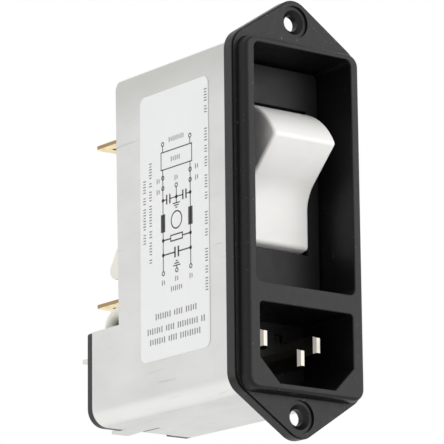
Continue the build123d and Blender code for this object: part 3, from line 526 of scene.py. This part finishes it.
# Rows of plain strokes, in groups: upright beside the diagram, level at the foot, and short captions and tags
SMALL = {"pitch": 0.62, "height": 0.95, "width": 0.24}
MEDIUM = {"pitch": 0.70, "height": 1.10, "width": 0.27}
LARGE = {"pitch": 0.82, "height": 1.35, "width": 0.33}
UPRIGHT_GROUPS = (5, 3, 8, 4, 2, 6)
OUTER_Y, OUTER_SPAN = 31.85, (12.5, -1.9)
INNER_Y, INNER_SPAN = 29.7, (16.0, -5.9)
SIDE_Y, SIDE_SPANS = 10.1, ((28.3, 22.4), (19.7, 11.5), (9.6, 3.4), (1.7, -3.9), (-6.2, -15.2))
FOOT_GROUPS, FOOT_SPANS = (7, 4, 9, 5), {-17.75: (27.9, 13.2), -20.65: (30.8, 10.7), -23.0: (29.9, 11.3)}
CAPTION_GROUPS, CAPTION_SPANS = (9,), {20.0: (22.9, 17.9), 15.6: (22.2, 18.8), -12.6: (22.4, 18.7)}
TAG_GROUPS, TAG_LENGTH = (2,), 0.8
TAG_PLACES = ((27.3, 11.6), (27.3, 9.2), (13.7, 12.3), (13.7, 9.9), (25.6, -10.8), (15.9, -10.9),
              (20.9, 11.3), (20.9, -10.6))

notes = Print()


def upright_row(y, span, groups):
    top, bottom = span
    notes.strokes((y, top), (y, bottom), groups, **SMALL)


def level_row(z, span, groups, size):
    start, end = span
    notes.strokes((start, z), (end, z), groups, **size)


upright_row(OUTER_Y, OUTER_SPAN, UPRIGHT_GROUPS)
upright_row(INNER_Y, INNER_SPAN, UPRIGHT_GROUPS[::-1])
for span in SIDE_SPANS:
    upright_row(SIDE_Y, span, UPRIGHT_GROUPS)
for z, span in FOOT_SPANS.items():
    level_row(z, span, FOOT_GROUPS, LARGE)
for z, span in CAPTION_SPANS.items():
    level_row(z, span, CAPTION_GROUPS, MEDIUM)
for y, z in TAG_PLACES:
    level_row(z, (y, y - TAG_LENGTH), TAG_GROUPS, MEDIUM)
notes.finish("label_notes", ink("ink_grey", (0.20, 0.20, 0.20)))


# Studio

FLOOR_Z = -0.20
FLOOR_HALF = 0.95
FLOOR_CORNERS = ((-1, -1), (1, -1), (1, 1), (-1, 1))
FADE_FROM, FADE_FULL = 0.30, 0.90


def fading_floor(name, colour):
    """Pale floor, seen from above only: plain white in reflections, clear far out so that it has no edge."""
    look = Shader(name, colour, 0.9, specular=0.1)
    path = look.add("ShaderNodeLightPath")
    mirrored = look.math("MAXIMUM", path.outputs["Is Glossy Ray"], path.outputs["Is Transmission Ray"])
    white = look.add("ShaderNodeEmission").outputs[0]
    surface = look.blend(mirrored, look.bsdf.outputs[0], white)
    squares = [look.math("POWER", look.axis(axis), 2.0) for axis in ("X", "Y")]
    reach = look.math("SQRT", look.math("ADD", *squares))
    below = look.add("ShaderNodeNewGeometry").outputs["Backfacing"]
    hidden = look.math("MAXIMUM", below, look.between(reach, FADE_FROM, FADE_FULL))
    clear = look.add("ShaderNodeBsdfTransparent").outputs[0]
    look.link(look.blend(hidden, surface, clear), look.tree.nodes["Material Output"].inputs["Surface"])
    return look.material


floor_data = bpy.data.meshes.new("floor")
floor_data.from_pydata([(x * FLOOR_HALF, y * FLOOR_HALF, FLOOR_Z) for x, y in FLOOR_CORNERS],
                       [], [(0, 1, 2, 3)])
floor_data.materials.append(fading_floor("stage_floor", (0.92, 0.92, 0.92)))
floor = bpy.data.objects.new("floor", floor_data)
bpy.context.collection.objects.link(floor)

TENT_BRIGHT, TENT_BRIGHT_FROM = 1.0, -0.30
TENT_FRONT, TENT_FRONT_UNTIL = 0.20, -0.85


def white_tent():
    """White surround, darker towards its open front; the camera, gloss and glass see it plain white."""
    world = bpy.data.worlds.new("studio")
    world.use_nodes = True
    tent = NodeTree(world.node_tree)
    background = tent.tree.nodes["Background"]
    background.inputs["Color"].default_value = (1, 1, 1, 1)
    back = tent.along(tent.add("ShaderNodeTexCoord").outputs["Generated"], "Y")
    level = tent.between(back, TENT_FRONT_UNTIL, TENT_BRIGHT_FROM, TENT_FRONT, TENT_BRIGHT)
    path = tent.add("ShaderNodeLightPath")
    for ray in ("Is Camera Ray", "Is Glossy Ray", "Is Transmission Ray"):
        level = tent.math("MAXIMUM", level, path.outputs[ray])
    tent.link(level, background.inputs["Strength"])
    return world


bpy.context.scene.world = white_tent()

# Key lamp: a square soft box in front of the module, to the right
KEY_PLACE = (0.50, -0.95, 0.10)
KEY_TARGET = (0, 0.01, 0)
KEY_SIZE = 1.5
KEY_POWER = 11.5

key_data = bpy.data.lights.new("key", "AREA")
key_data.size = KEY_SIZE
key_data.energy = KEY_POWER
key = bpy.data.objects.new("key", key_data)
key.location = KEY_PLACE
key.rotation_euler = (Vector(KEY_TARGET) - Vector(KEY_PLACE)).to_track_quat("-Z", "Y").to_euler()
bpy.context.collection.objects.link(key)

# Camera at the photograph's place: it looks up at the module from its front left
CAMERA_PLACE = (-0.42622, -0.53115, -0.16105)
CAMERA_AZIMUTH = math.radians(-37.573)
CAMERA_RISE = math.radians(13.274)
CAMERA_ROLL = math.radians(-0.585)
CAMERA_LENS = 271.86
SENSOR = 36.0
CLIP_NEAR, CLIP_FAR = 0.01, 20.0

forward = Vector((-math.sin(CAMERA_AZIMUTH) * math.cos(CAMERA_RISE),
                  math.cos(CAMERA_AZIMUTH) * math.cos(CAMERA_RISE), math.sin(CAMERA_RISE)))
level_right = forward.cross(Vector((0, 0, 1))).normalized()
level_up = level_right.cross(forward)
right = math.cos(CAMERA_ROLL) * level_right + math.sin(CAMERA_ROLL) * level_up
up = math.cos(CAMERA_ROLL) * level_up - math.sin(CAMERA_ROLL) * level_right
camera_data = bpy.data.cameras.new("camera")
camera_data.lens = CAMERA_LENS
camera_data.sensor_width = SENSOR
camera_data.clip_start = CLIP_NEAR
camera_data.clip_end = CLIP_FAR
camera = bpy.data.objects.new("camera", camera_data)
camera.matrix_world = (Matrix.Translation(CAMERA_PLACE)
                       @ Matrix((right, up, -forward)).transposed().to_4x4())
bpy.context.collection.objects.link(camera)
bpy.context.scene.camera = camera
bpy.context.scene.view_settings.view_transform = "Standard"

bpy.context.view_layer.update()
